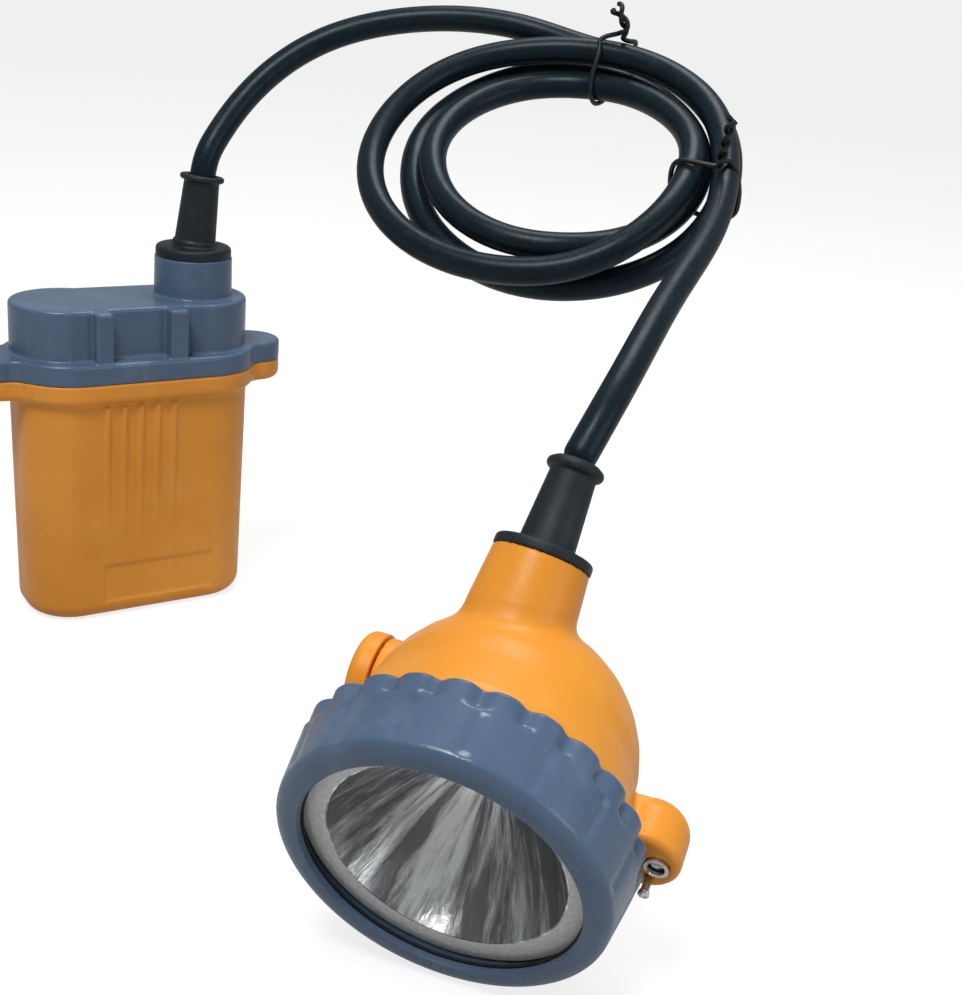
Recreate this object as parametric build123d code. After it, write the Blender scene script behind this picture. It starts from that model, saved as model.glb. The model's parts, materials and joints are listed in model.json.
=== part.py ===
from build123d import *
import math
import os

# Miner's cap lamp: a belt battery pack, a coiled flexible cable and a headpiece.
# Millimetres, +Z up, origin at the centre of the battery pack's base, front of the pack faces -Y.

# ---------------------------------------------------------------- battery pack, driving sizes
CASE_BASE_WIDTH, CASE_BASE_DEPTH = 72.4, 35.0
CASE_DRAFT = 0.95            # degrees the walls lean outwards
CASE_CORNER = 15.0           # plan corner radius at the base
CASE_TOP = 79.6              # joint face between case and cover
CASE_WALL = 2.2
CASE_FLOOR = 3.0
RIM_WIDTH, RIM_DEPTH, RIM_CORNER = 80.0, 42.0, 19.5
RIM_HEIGHT = 6.5             # same for the case's rim and the cover's rim
EAR_LENGTH, EAR_WIDTH = 102.0, 19.0
EAR_BLEND = 6.0
EAR_SCREW_X = 44.2
SCREW_SINK = 3.0             # how deep the ear screws' heads sit in the case's underside
COVER_TOP = 101.8
COVER_WALL = 3.1
LOBE_RADIUS = 17.0
LOBE_X = 20.8
BOSS_RADIUS, BOSS_TOP = 12.1, 114.2
BOSS_DRAFT = 0.9
BOSS_BORE = 6.6
WAIST_DEPTH = 15.4            # half depth of the cover between its lobes
BUTTRESSES = ((-15.0, 5.5), (8.7, 5.9))   # place along X and width
BUTTRESS_FACE = 20.4
RIB_COUNT, RIB_PITCH, RIB_WIDTH, RIB_PROUD, RIB_SHIFT = 5, 5.4, 2.4, 1.0, -3.3
PANEL_LEFT, PANEL_RIGHT, PANEL_LOW, PANEL_HIGH, PANEL_DEPTH = -15.2, 21.8, 5.5, 18.3, 0.6
PANEL_LINE_X, PANEL_LINE_HIGH = 15.5, 14.0
PAD_FACE, PAD_WIDTH, PAD_LOW, PAD_HIGH = 15.0, 30.0, 10.0, 64.0   # raised seat of the belt clip
RIB_LOW, RIB_HIGH = 28.0, 72.0
GASKET_WIDTH, GASKET_DEPTH = 1.5, 1.2
CLIP_FACE = 18.7             # plane on the pack's back where the belt clip lies
CLIP_WIDTH, CLIP_SHEET, CLIP_REACH = 26.0, 1.6, 10.6
CLIP_LOW, CLIP_HIGH = 12.0, 63.4
CLIP_SCREWS = (24.0, 50.0)

# ---------------------------------------------------------------- cells and board
CELL_RADIUS, CELL_LENGTH, CELL_PITCH = 9.1, 65.0, 18.8
CELL_BASE = 5.8
BOARD_WIDTH, BOARD_DEPTH, BOARD_THICK = 58.0, 20.0, 1.6
BOARD_BASE = 73.4

# ---------------------------------------------------------------- cable and boots
CABLE_RADIUS = 4.0
TAIL_CLEARANCE = 0.1
BOOT_LEAN = 6.0              # degrees the pack boot leans towards +X
BOOT_FLANGE_RADIUS, BOOT_FLANGE = 11.9, 3.3
BOOT_STEP_RADIUS, BOOT_STEP = 7.0, 4.7
BOOT_BASE_RADIUS, BOOT_TIP_RADIUS = 6.45, 5.5
BOOT_LENGTH = 25.5
BOOT_LIP_RADIUS, BOOT_LIP = 6.9, 1.8
MOUTH_RADIUS, MOUTH_DEPTH = 4.6, 2.6     # wider mouth in the boot's top, where the cable turns
SWING_DEPTH = 1.5            # how far the turning cable reaches down into that mouth

# ---------------------------------------------------------------- headpiece, driving sizes
HEAD_FRONT = (-17.6, -224.9, 35.0)       # centre of the bezel's front face
HEAD_YAW, HEAD_PITCH, HEAD_ROLL = 52.9, 18.85, 3.9
BEZEL_RADIUS, BEZEL_REAR_RADIUS = 37.0, 39.1
BEZEL_LENGTH = 19.4
BEZEL_OPENING = 31.3
FLUTES = 25                  # scallops round the bezel's back edge
FLUTE_RADIUS, FLUTE_DEPTH, FLUTE_FRONT = 3.0, 1.3, -13.4
FACET_LINES = 16             # shallow grooves across the bezel's middle
FACET_RADIUS, FACET_DEPTH = 1.8, 0.4
LIP_DEPTH = 1.8
THREAD_RADIUS = 33.0         # housing spigot; the thread itself is stood in by a plain sleeve
THREAD_CLEARANCE = 0.15
LENS_RADIUS, LENS_BACK, LENS_FRONT = 32.5, -4.5, -2.5
REFLECTOR_MOUTH, REFLECTOR_THROAT = 26.5, 4.5
REFLECTOR_FRONT, REFLECTOR_BACK = -4.6, -33.0
DOME_RADIUS, DOME_CENTRE = 32.0, -34.0
DOME_FLAT = -61.0
HOOK_TOP, HOOK_BOTTOM, HOOK_WIDTH, HOOK_SHEET, HOOK_GAP = 6.5, -17.5, 17.0, 1.4, 8.0
HOOK_SCREWS = (-12.0, 1.0)
HOUSING_WALL = 2.4
NECK_TOP = (-1.6, 30.5, -66.0)
NECK_TILT, NECK_SIDE = 53.0, 3.5         # degrees the neck leans back and to the charging side
NECK_RADIUS, NECK_ROOT_RADIUS, NECK_REACH = 11.4, 13.8, 26.0
NECK_BORE = 8.2
PIVOT_REACH = 26.0           # from the neck's top to the cable's ball end
HEAD_BOOT_TOP = 23.8
KNOB_Z, KNOB_RADIUS, KNOB_INNER, KNOB_OUTER = -45.0, 10.8, 32.2, 37.4
KNOB_SLOT = 0.9              # depth of the finger slot across the knob's face
KNOB_SHAFT_RADIUS, KNOB_CLEARANCE = 3.0, 0.06
LUG_X, LUG_Y, LUG_RADIUS = 37.6, -4.2, 8.2
LUG_FRONT, LUG_BACK = -22.0, -36.0
SOCKET_X, SOCKET_Y, SOCKET_RADIUS, SOCKET_MOUTH = 40.8, -4.4, 2.7, 1.9
CONTACT_RADIUS = 1.4
PIN_X, PIN_Y = 39.6, -8.5
PIN_RADIUS, PIN_CLEARANCE = 0.9, 0.06
PIN_FLARE = 1.25

# ---------------------------------------------------------------- coil of cable
COIL_CENTRE = Vector(98.0, -82.0, 158.0)
COIL_NORMAL = Vector(-0.405, -0.367, 0.838).normalized()
COIL_RADIUS = 46.5
COIL_STEP = 20               # degrees between the points the cable is led through
# How each pass lies in the bundle: degrees round the coil, offset outwards, offset along the coil's normal
BUNDLE_LAY = [
    (96, 8.5, -1.0), (53, 7.6, -3.0), (10, 5.6, -4.2), (-34, 4.0, -7.2), (-78, -0.5, -8.4),
    (-158, -5.5, -5.0), (-211, -2.0, -5.8), (-264, 1.0, -5.4), (-307, -1.0, -5.4), (-350, -3.0, -5.0),
    (-394, -5.0, -3.0), (-438, -5.6, 1.9), (-518, -11.8, 1.5), (-624, -8.0, -3.3), (-667, -8.6, 0.5),
    (-710, -5.4, 3.8), (-732, -3.8, 5.0), (-754, -1.0, 5.4), (-776, 2.2, 4.0), (-798, 3.5, 1.4),
    (-878, 6.8, 0.6), (-931, 4.0, 3.0), (-984, 0.0, 3.8), (-1070, 3.6, 4.8),
]
# Free lengths of cable: from the pack's boot up to the coil, and from the coil down to the headpiece
RISE = [(25.1, 0.5, 145.2), (29.5, 2.2, 151.8), (38.0, 5.2, 161.0), (49.5, 5.6, 171.6), (67.4, 2.3, 182.8),
        (87.0, -8.1, 189.8), (104.8, -22.0, 192.3), (118.3, -36.6, 191.0)]
FALL = [(120.6, -132.6, 153.4), (104.0, -146.0, 144.6), (83.5, -159.1, 135.2), (65.9, -171.2, 127.0),
        (53.0, -179.8, 119.9), (44.2, -184.6, 113.4)]
TIE_RADIUS, TIE_CLEARANCE = 0.6, 0.85
# Each wire tie: angle round the coil, how far it slants as it goes round the bundle, the bearing of its
# knot round the bundle (from outwards towards the coil's normal), then its two tails as rise and run
TIES = {
    "coil_tie_top": (86.0, -14.0, 80.0, [(0.9, 2.8), (2.4, 6.4), (4.2, 8.7), (6.6, 7.4), (10.8, 4.4)],
                     [(0.7, 1.6), (1.6, 3.2)]),
    "coil_tie_side": (-4.0, 7.0, 45.0, [(0.8, -2.5), (1.6, -6.0), (3.2, -11.0), (5.6, -16.0)],
                      [(0.3, -2.0), (1.0, -3.6)]),
}


def export(name, *solids):
    """Write one node as one STEP file."""
    shape = solids[0] if len(solids) == 1 else Compound(children=list(solids))
    shape.label = name
    export_step(shape, f"parts/{name}.step")


def solid_of(part):
    """The single solid inside a finished part."""
    return part.solids()[0]


def direction(tilt_from_z, towards):
    """Unit vector leaning from +Z by an angle towards a level direction."""
    a = math.radians(tilt_from_z)
    return Vector(towards[0] * math.sin(a), towards[1] * math.sin(a), math.cos(a))


def tube(outer, inner, low, high, centre=(0, 0)):
    """Plain ring between two heights."""
    body = Pos(centre[0], centre[1], low) * extrude(Circle(outer), high - low)
    if inner > 0:
        body -= Pos(centre[0], centre[1], low - 1) * extrude(Circle(inner), high - low + 2)
    return body


def rod(start, end, radius):
    """Straight round rod between two points."""
    a, b = Vector(*start), Vector(*end)
    return extrude(Plane(origin=a, z_dir=b - a) * Circle(radius), (b - a).length)


def wire(points, radius):
    """Round wire led smoothly through points."""
    path = Spline(*points)
    return sweep(Plane(origin=path @ 0, z_dir=path % 0) * Circle(radius), path=path)


def revolved(profile_points):
    """Solid of revolution about Z from (radius, height) points."""
    outline = Polyline(*[(r, 0, z) for r, z in profile_points], close=True)
    return revolve(make_face(outline), Axis.Z)


# ================================================================ battery pack
def rim_outline():
    """Plan of the joint rim: rounded body with a screw ear at each end."""
    outline = RectangleRounded(RIM_WIDTH, RIM_DEPTH, RIM_CORNER) + SlotOverall(EAR_LENGTH, EAR_WIDTH)
    return offset(offset(outline, EAR_BLEND), -EAR_BLEND)


def lobe_outline(grow=0.0):
    """Plan of the cover's upper body: two round lobes joined by a waist."""
    lobes = Pos(-LOBE_X, 0) * Circle(LOBE_RADIUS + grow) + Pos(LOBE_X, 0) * Circle(LOBE_RADIUS + grow)
    return lobes + Rectangle(2 * LOBE_X, 2 * (WAIST_DEPTH + grow))


def battery_case():
    outline = RectangleRounded(CASE_BASE_WIDTH, CASE_BASE_DEPTH, CASE_CORNER)
    body = extrude(outline, CASE_TOP, taper=-CASE_DRAFT)
    body = fillet(body.faces().sort_by(Axis.Z)[0].edges(), 5.0)
    rim = Pos(0, 0, CASE_TOP - RIM_HEIGHT) * extrude(rim_outline(), RIM_HEIGHT)
    rim = fillet(rim.faces().sort_by(Axis.Z)[0].edges(), 2.2)
    body += rim
    front = CASE_BASE_DEPTH / 2
    lean = math.tan(math.radians(CASE_DRAFT))
    for i in range(RIB_COUNT):
        x = (i - (RIB_COUNT - 1) / 2) * RIB_PITCH + RIB_SHIFT
        low = (x, -(front + RIB_LOW * lean - RIB_WIDTH / 2 + 0.2), RIB_LOW)
        high = (x, -(front + RIB_HIGH * lean - RIB_WIDTH / 2 + RIB_PROUD), RIB_HIGH)
        body += rod(low, high, RIB_WIDTH / 2)
    panel_face = front + PANEL_LOW * lean - PANEL_DEPTH / 2
    panel = Box(PANEL_RIGHT - PANEL_LEFT, 2.0, PANEL_HIGH - PANEL_LOW)
    body -= Pos((PANEL_LEFT + PANEL_RIGHT) / 2, -panel_face - 1.0, (PANEL_LOW + PANEL_HIGH) / 2) * panel
    line = Box(0.8, 2.0, PANEL_LINE_HIGH - PANEL_LOW)
    body -= Pos(PANEL_LINE_X, 0.2 - panel_face - 1.0, (PANEL_LOW + PANEL_LINE_HIGH) / 2) * line
    pad_depth = CLIP_FACE - 0.02 - PAD_FACE
    pad = Box(PAD_WIDTH, pad_depth, PAD_HIGH - PAD_LOW)
    body += Pos(0, PAD_FACE + pad_depth / 2, (PAD_LOW + PAD_HIGH) / 2) * pad
    body -= Pos(0, 0, CASE_FLOOR) * extrude(offset(outline, -CASE_WALL), CASE_TOP, taper=-CASE_DRAFT)
    body -= Pos(0, 0, CASE_TOP - GASKET_DEPTH) * extrude(ring_outline(GASKET_WIDTH + 0.1), GASKET_DEPTH + 1)
    rim_base = CASE_TOP - RIM_HEIGHT
    for side in (-1, 1):
        body -= tube(1.7, 0, rim_base - 1, CASE_TOP + 1, (side * EAR_SCREW_X, 0))
        body -= tube(3.3, 0, rim_base - 1, rim_base + SCREW_SINK, (side * EAR_SCREW_X, 0))
    for z in CLIP_SCREWS:
        body -= rod((0, CLIP_FACE - 2.4, z), (0, CLIP_FACE + 1, z), 1.55)
    return body


def ring_outline(width):
    """Plan of the sealing ring that runs round the joint face."""
    return (RectangleRounded(73.0 + width, 35.6 + width, 16.0 + width / 2)
            - RectangleRounded(73.0 - width, 35.6 - width, 16.0 - width / 2))


def cover_gasket():
    return Pos(0, 0, CASE_TOP - GASKET_DEPTH) * extrude(ring_outline(GASKET_WIDTH), GASKET_DEPTH)


def battery_cover():
    low = CASE_TOP
    rim = Pos(0, 0, low) * extrude(rim_outline(), RIM_HEIGHT)
    rim = fillet(rim.faces().sort_by(Axis.Z)[-1].edges(), 1.2)
    upper = Pos(0, 0, low) * extrude(lobe_outline(), COVER_TOP - low)
    upper = fillet(upper.faces().sort_by(Axis.Z)[-1].edges(), 1.2)
    boss = extrude(Circle(BOSS_RADIUS + 0.3), BOSS_TOP - COVER_TOP + 1, taper=BOSS_DRAFT)
    body = rim + upper + Pos(LOBE_X, 0, COVER_TOP - 1) * boss
    root, top = WAIST_DEPTH - 1.0, COVER_TOP - 0.3
    for x, width in BUTTRESSES:
        block = Box(width, BUTTRESS_FACE - root, top - low)
        block = fillet(block.edges().filter_by(Axis.Z) + block.faces().sort_by(Axis.Z)[-1].edges(), 0.8)
        body += Pos(x, -(BUTTRESS_FACE + root) / 2, (low + top) / 2) * block
    body -= Pos(0, 0, low - 1) * extrude(lobe_outline(-COVER_WALL), COVER_TOP - COVER_WALL - low + 1)
    body -= Pos(LOBE_X, 0, COVER_TOP - 8) * extrude(Circle(BOSS_BORE), BOSS_TOP)
    for side in (-1, 1):
        body -= tube(2.6, 0, low - 1, low + RIM_HEIGHT - 1.2, (side * EAR_SCREW_X, 0))
    return body


def cover_screws():
    screws = []
    for side in (-1, 1):
        seat = CASE_TOP - RIM_HEIGHT + SCREW_SINK - 0.05
        screw = tube(2.9, 0, seat - 2.2, seat, (side * EAR_SCREW_X, 0))
        screw += tube(1.45, 0, seat, CASE_TOP + 4.6, (side * EAR_SCREW_X, 0))
        screw -= Pos(side * EAR_SCREW_X, 0, seat - 3.2) * extrude(RegularPolygon(1.45, 6), 2.2)
        screws.append(solid_of(screw))
    return screws


def cover_inserts():
    inserts = []
    for side in (-1, 1):
        insert = tube(2.55, 1.5, CASE_TOP + 0.3, CASE_TOP + 5.2, (side * EAR_SCREW_X, 0))
        inserts.append(solid_of(insert))
    return inserts


def cell_positions():
    return [(-CELL_PITCH, 0), (0, 0), (CELL_PITCH, 0)]


def battery_cells():
    cells = []
    for x, y in cell_positions():
        cell = tube(CELL_RADIUS, 0, CELL_BASE, CELL_BASE + CELL_LENGTH - 1.0, (x, y))
        cell = fillet(cell.edges(), 0.8)
        cell += tube(2.8, 0, CELL_BASE + CELL_LENGTH - 1.0, CELL_BASE + CELL_LENGTH, (x, y))
        cells.append(solid_of(cell))
    return cells


def cell_strips():
    low = Pos(0, 0, CELL_BASE - 0.3) * extrude(SlotOverall(2 * CELL_PITCH + 8, 6), 0.2)
    high = Pos(0, 0, CELL_BASE + CELL_LENGTH + 0.1) * extrude(SlotOverall(2 * CELL_PITCH + 8, 6), 0.2)
    return [solid_of(low), solid_of(high)]


def cell_pads():
    pad = RectangleRounded(62, 26, 10)
    low = Pos(0, 0, CASE_FLOOR + 0.05) * extrude(pad, CELL_BASE - CASE_FLOOR - 0.45)
    high = Pos(0, 0, CELL_BASE + CELL_LENGTH + 0.4) * extrude(pad, 1.8)
    return [solid_of(low), solid_of(high)]


def protection_board():
    return Pos(0, 0, BOARD_BASE) * extrude(RectangleRounded(BOARD_WIDTH, BOARD_DEPTH, 3), BOARD_THICK)


def protection_parts():
    top = BOARD_BASE + BOARD_THICK
    parts = []
    for x, y, w, d, h in ((-14, 0, 5, 4, 1.2), (-5, 4, 5, 4, 1.2), (-5, -4, 5, 4, 1.2), (6, 0, 6.5, 3.2, 0.7),
                          (20, 4.5, 4, 5, 1.6), (20, -4.5, 4, 5, 1.6)):
        parts.append(solid_of(Pos(x, y, top + h / 2) * Box(w, d, h)))
    return parts


def battery_leads():
    top = BOARD_BASE + BOARD_THICK + 2.1
    leads = []
    for side in (-1, 1):
        start = (20, side * 4.5, top)
        end = (LOBE_X, side * 1.6, COVER_TOP - 6.2)
        bends = [(19, side * 4.6, top + 4), (16.5, side * 3.4, top + 12)]
        leads.append(solid_of(wire([start] + bends + [end], 0.8)))
    return leads


def boot_frame():
    """Frame on the boss top whose Z runs up the leaning boot."""
    return Plane(origin=(LOBE_X, 0, BOSS_TOP), x_dir=(0, 1, 0), z_dir=direction(BOOT_LEAN, (1, 0)))


def boot_solid(length):
    """Rubber bend relief: step, cone and a rolled lip, rising out of the flange."""
    step = [(0, 1.2), (BOOT_STEP_RADIUS, 1.2), (BOOT_STEP_RADIUS, BOOT_STEP), (BOOT_BASE_RADIUS, BOOT_STEP)]
    lip_base = length - BOOT_LIP
    lip = [(BOOT_TIP_RADIUS, lip_base), (BOOT_LIP_RADIUS, lip_base), (BOOT_LIP_RADIUS, length)]
    cone = revolved(step + lip + [(0, length)])
    return fillet(cone.edges().filter_by(GeomType.CIRCLE).sort_by(Axis.Z)[-2:], 0.7)


def pack_cable_boot():
    flange = tube(BOOT_FLANGE_RADIUS, 0, BOSS_TOP, BOSS_TOP + BOOT_FLANGE, (LOBE_X, 0))
    flange = fillet(flange.edges().sort_by(Axis.Z)[-1], 1.2)
    spigot = tube(BOSS_BORE - 0.05, 0, COVER_TOP - 4, BOSS_TOP, (LOBE_X, 0))
    body = flange + spigot + boot_frame().location * boot_solid(BOOT_LENGTH)
    bore = boot_frame().location * tube(CABLE_RADIUS + TAIL_CLEARANCE, 0, -2, BOOT_LENGTH + 2)
    bore += tube(CABLE_RADIUS + TAIL_CLEARANCE, 0, COVER_TOP - 6, BOSS_TOP + 1.0, (LOBE_X, 0))
    bore += boot_frame().location * tube(MOUTH_RADIUS, 0, BOOT_LENGTH - MOUTH_DEPTH, BOOT_LENGTH + 2)
    return body - bore


def pack_cable_tail():
    upper = boot_frame().location * extrude(Circle(CABLE_RADIUS), BOOT_LENGTH - MOUTH_DEPTH)
    lower = tube(CABLE_RADIUS, 0, COVER_TOP - 5, BOSS_TOP, (LOBE_X, 0))
    return lower + Pos(LOBE_X, 0, BOSS_TOP) * Sphere(CABLE_RADIUS) + upper


def pack_cable_clamp():
    ring = tube(7.4, CABLE_RADIUS + 0.05, COVER_TOP - 4.9, COVER_TOP - 4.1, (LOBE_X, 0))
    return ring


def belt_clip():
    """Pressed steel belt loop on the pack's back: a fixed plate folded over into a free leaf."""
    back = CLIP_FACE + CLIP_SHEET / 2
    leaf = back + CLIP_REACH
    plate = [(back, CLIP_LOW), (back, CLIP_HIGH - 1.4), (back + 1.0, CLIP_HIGH)]
    free = [(leaf - 1.1, CLIP_HIGH), (leaf, CLIP_HIGH - 1.4), (leaf, CLIP_LOW + 6.0),
            (leaf - 2.4, CLIP_LOW + 2.5)]
    outline = Polyline(*(plate + free))
    clip = extrude(Plane.YZ * trace(outline, CLIP_SHEET), CLIP_WIDTH / 2, both=True)
    for z in CLIP_SCREWS:
        clip -= rod((0, CLIP_FACE - 1, z), (0, back + 4, z), 1.6)
        clip -= rod((0, leaf - 3, z), (0, leaf + 3, z), 3.4)
    return clip


def clip_screws():
    seat = CLIP_FACE + CLIP_SHEET + 0.03
    screws = []
    for z in CLIP_SCREWS:
        screw = rod((0, seat, z), (0, seat + 1.5, z), 2.9) + rod((0, CLIP_FACE - 2.2, z), (0, seat, z), 1.5)
        screws.append(solid_of(screw - Pos(0, seat + 1.5, z) * Box(4.0, 1.4, 0.8)))
    return screws


# ================================================================ headpiece
def head_frame():
    """Frame at the bezel's front centre: Z points out of the lamp, Y up, X to the lamp's charging side."""
    yaw, pitch, roll = (math.radians(v) for v in (HEAD_YAW, HEAD_PITCH, HEAD_ROLL))
    out = Vector(-math.sin(yaw) * math.cos(pitch), -math.cos(yaw) * math.cos(pitch), -math.sin(pitch))
    side = Vector(0, 0, 1).cross(out).normalized()
    up = out.cross(side)
    side = side * math.cos(roll) - up * math.sin(roll)
    return Plane(origin=HEAD_FRONT, x_dir=side, z_dir=out)


def neck_frame():
    """Frame on the neck's top, in headpiece coordinates, Z running out of the neck."""
    back, side = math.radians(NECK_TILT), math.radians(NECK_SIDE)
    out = Vector(math.sin(side), math.cos(side) * math.cos(back), -math.cos(side) * math.sin(back))
    return Plane(origin=NECK_TOP, x_dir=Vector(math.cos(side), -math.sin(side) * math.cos(back),
                                               math.sin(side) * math.sin(back)), z_dir=out)


def dome_profile(inset):
    """Radius and height points of the dome, set in by a wall thickness."""
    r = DOME_RADIUS - inset
    points = []
    for angle in range(0, 64, 9):
        a = math.radians(angle)
        points.append((r * math.cos(a), DOME_CENTRE - r * math.sin(a)))
    return [p for p in points if p[1] > DOME_FLAT + inset]


def flat_radius(inset):
    depth = DOME_CENTRE - (DOME_FLAT + inset)
    return math.sqrt((DOME_RADIUS - inset) ** 2 - depth ** 2)


def headpiece_housing():
    front = REFLECTOR_FRONT - 1.05
    outer = ([(0, front), (THREAD_RADIUS, front), (THREAD_RADIUS, -20.3), (34.6, -20.3), (34.6, -22.4)]
             + dome_profile(0.0) + [(flat_radius(0.0), DOME_FLAT), (0, DOME_FLAT)])
    body = revolved(outer)
    neck_draft = math.degrees(math.atan((NECK_ROOT_RADIUS - NECK_RADIUS) / NECK_REACH))
    neck = extrude(Circle(NECK_ROOT_RADIUS), NECK_REACH, taper=neck_draft)
    body += neck_frame().location * (Pos(0, 0, -NECK_REACH) * neck)
    lug = tube(LUG_RADIUS, 0, LUG_BACK, LUG_FRONT, (LUG_X, LUG_Y))
    lug = fillet(lug.edges().sort_by(Axis.Z)[0], 6.0)
    lug = fillet(lug.edges().sort_by(Axis.Z)[-1], 1.5)
    web = Pos(LUG_X - 8, LUG_Y, (LUG_FRONT + LUG_BACK) / 2 + 1.0) * Box(16, 2 * LUG_RADIUS - 1.5, 11)
    body += lug + web
    pad = Pos(-28, 0, KNOB_Z) * Rot(0, 90, 0) * Cylinder(KNOB_RADIUS - 0.6, 2 * (KNOB_INNER - 28.4))
    body += pad
    inner = ([(0, front + 1), (29.6, front + 1), (29.6, -26.0)] + dome_profile(HOUSING_WALL)[1:]
             + [(flat_radius(HOUSING_WALL), DOME_FLAT + HOUSING_WALL), (0, DOME_FLAT + HOUSING_WALL)])
    body -= revolved(inner)
    body -= neck_frame().location * (Pos(0, 0, -NECK_REACH) * extrude(Circle(NECK_BORE), NECK_REACH + 1))
    body -= Pos(-30, 0, KNOB_Z) * Rot(0, 90, 0) * Cylinder(KNOB_SHAFT_RADIUS + KNOB_CLEARANCE, 20)
    body -= tube(SOCKET_RADIUS + 0.05, 0, LUG_FRONT - 10, LUG_FRONT + 1, (SOCKET_X, SOCKET_Y))
    body -= tube(PIN_RADIUS + PIN_CLEARANCE, 0, LUG_FRONT - 12, LUG_FRONT + 1, (PIN_X, PIN_Y))
    body -= tube(1.5, 0, LUG_FRONT - 12, LUG_FRONT - 4.5, (PIN_X, PIN_Y))
    for y in HOOK_SCREWS:
        body -= tube(1.3, 0, DOME_FLAT - 1, DOME_FLAT + 5, (0, y))
    return body


def bezel_ring():
    outer = [(BEZEL_OPENING, 0), (BEZEL_RADIUS - 2.6, 0), (BEZEL_RADIUS - 0.8, -0.8), (BEZEL_RADIUS, -2.6),
             (BEZEL_REAR_RADIUS, -BEZEL_LENGTH + 1.2), (BEZEL_REAR_RADIUS - 0.8, -BEZEL_LENGTH),
             (THREAD_RADIUS + THREAD_CLEARANCE, -BEZEL_LENGTH),
             (THREAD_RADIUS + THREAD_CLEARANCE, -LIP_DEPTH), (BEZEL_OPENING - 0.3, -LIP_DEPTH),
             (BEZEL_OPENING - 0.3, -0.6)]
    body = revolved(outer)
    flute_reach = BEZEL_REAR_RADIUS + FLUTE_RADIUS - FLUTE_DEPTH
    flute = rod((flute_reach, 0, -BEZEL_LENGTH - 1), (flute_reach, 0, FLUTE_FRONT), FLUTE_RADIUS)
    for i in range(FLUTES):
        body -= Rot(0, 0, 360.0 / FLUTES * i) * flute
    line = rod((BEZEL_RADIUS + 1.3 + FACET_RADIUS - FACET_DEPTH, 0, FLUTE_FRONT + 0.6),
               (BEZEL_RADIUS + FACET_RADIUS - FACET_DEPTH, 0, -2.0), FACET_RADIUS)
    for i in range(FACET_LINES):
        body -= Rot(0, 0, 360.0 / FACET_LINES * (i + 0.75)) * line
    return body


def bezel_oring():
    return Pos(0, 0, -19.85) * Torus(THREAD_RADIUS + 0.7 + 0.05, 0.38)


def lens_gasket():
    return tube(LENS_RADIUS + 0.2, BEZEL_OPENING - 0.6, LENS_FRONT + 0.05, -LIP_DEPTH - 0.05)


def lens():
    return fillet(tube(LENS_RADIUS, 0, LENS_BACK, LENS_FRONT).edges(), 0.4)


def paraboloid(mouth, throat, front, back, steps=9):
    """Radius and height points of a parabolic bowl between a mouth and a throat."""
    depth = front - back
    points = []
    for i in range(steps + 1):
        r = throat + (mouth - throat) * i / steps
        height = (r * r - throat * throat) / (mouth * mouth - throat * throat)
        points.append((r, back + depth * height))
    return points


def reflector():
    wall = 1.2
    inner = paraboloid(REFLECTOR_MOUTH, REFLECTOR_THROAT, REFLECTOR_FRONT, REFLECTOR_BACK)
    outer = [(r + wall, z - 0.4) for r, z in inner[:-1]]
    flange = [(REFLECTOR_MOUTH + wall, REFLECTOR_FRONT - 1.0), (32.4, REFLECTOR_FRONT - 1.0),
              (32.4, REFLECTOR_FRONT)]
    return revolved(inner + list(reversed(outer + flange)))


def light_emitter():
    base = Pos(0, 0, -34.45) * Box(5.0, 5.0, 1.1)
    return base + Pos(0, 0, -33.9) * (Sphere(2.2) - Pos(0, 0, -5) * Box(10, 10, 10))


def star_board():
    board = tube(10.0, 0, -36.6, -35.05)
    for i in range(6):
        board -= Rot(0, 0, 60 * i) * Pos(10.0, 0, -36) * Cylinder(1.6, 4)
    return board


def heat_sink():
    sink = tube(28.8, 0, -38.9, -36.65)
    sink += tube(15.0, 12.0, -44.0, -38.9)
    for i in range(8):
        sink += Rot(0, 0, 45 * i + 22.5) * Pos(18.0, 0, -41.5) * Box(7.0, 1.2, 5.0)
    return sink


def driver_board():
    return tube(10.5, 0, -41.8, -40.4)


def driver_parts():
    parts = []
    for x, y, w, d, h in ((0, 0, 4, 5, 1.4), (6, 2, 2.4, 2.4, 2.0), (-6, -2, 3.0, 2.0, 1.0),
                          (-3, 6, 2.0, 1.2, 0.9)):
        parts.append(solid_of(Pos(x, y, -41.85 - h / 2) * Box(w, d, h)))
    return parts


def head_cable_boot():
    flange = tube(NECK_RADIUS + 0.2, 0, 0, 2.6)
    flange = fillet(flange.edges().sort_by(Axis.Z)[-1], 1.0)
    cone = revolved([(0, 0), (BOOT_BASE_RADIUS + 0.4, 0), (BOOT_TIP_RADIUS, HEAD_BOOT_TOP - 3),
                     (BOOT_TIP_RADIUS, HEAD_BOOT_TOP), (0, HEAD_BOOT_TOP)])
    bead = Pos(0, 0, HEAD_BOOT_TOP - 1.7) * Torus(BOOT_TIP_RADIUS, 1.35)
    spigot = tube(NECK_BORE - 0.05, 0, -9.0, 0)
    body = flange + cone + bead + spigot
    body -= tube(CABLE_RADIUS + TAIL_CLEARANCE, 0, -10, HEAD_BOOT_TOP - 4.4)
    body -= Pos(0, 0, PIVOT_REACH) * Sphere(CABLE_RADIUS + 0.2)
    return neck_frame().location * body


def head_cable_tail():
    return neck_frame().location * tube(CABLE_RADIUS, 0, -14.0, HEAD_BOOT_TOP - 4.5)


def head_cable_clamp():
    ring = tube(NECK_BORE - 0.6, CABLE_RADIUS + 0.05, -13.0, -9.4)
    ring -= Pos(CABLE_RADIUS + 2, 0, -11) * Box(6, 1.4, 6)
    return neck_frame().location * ring


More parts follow.
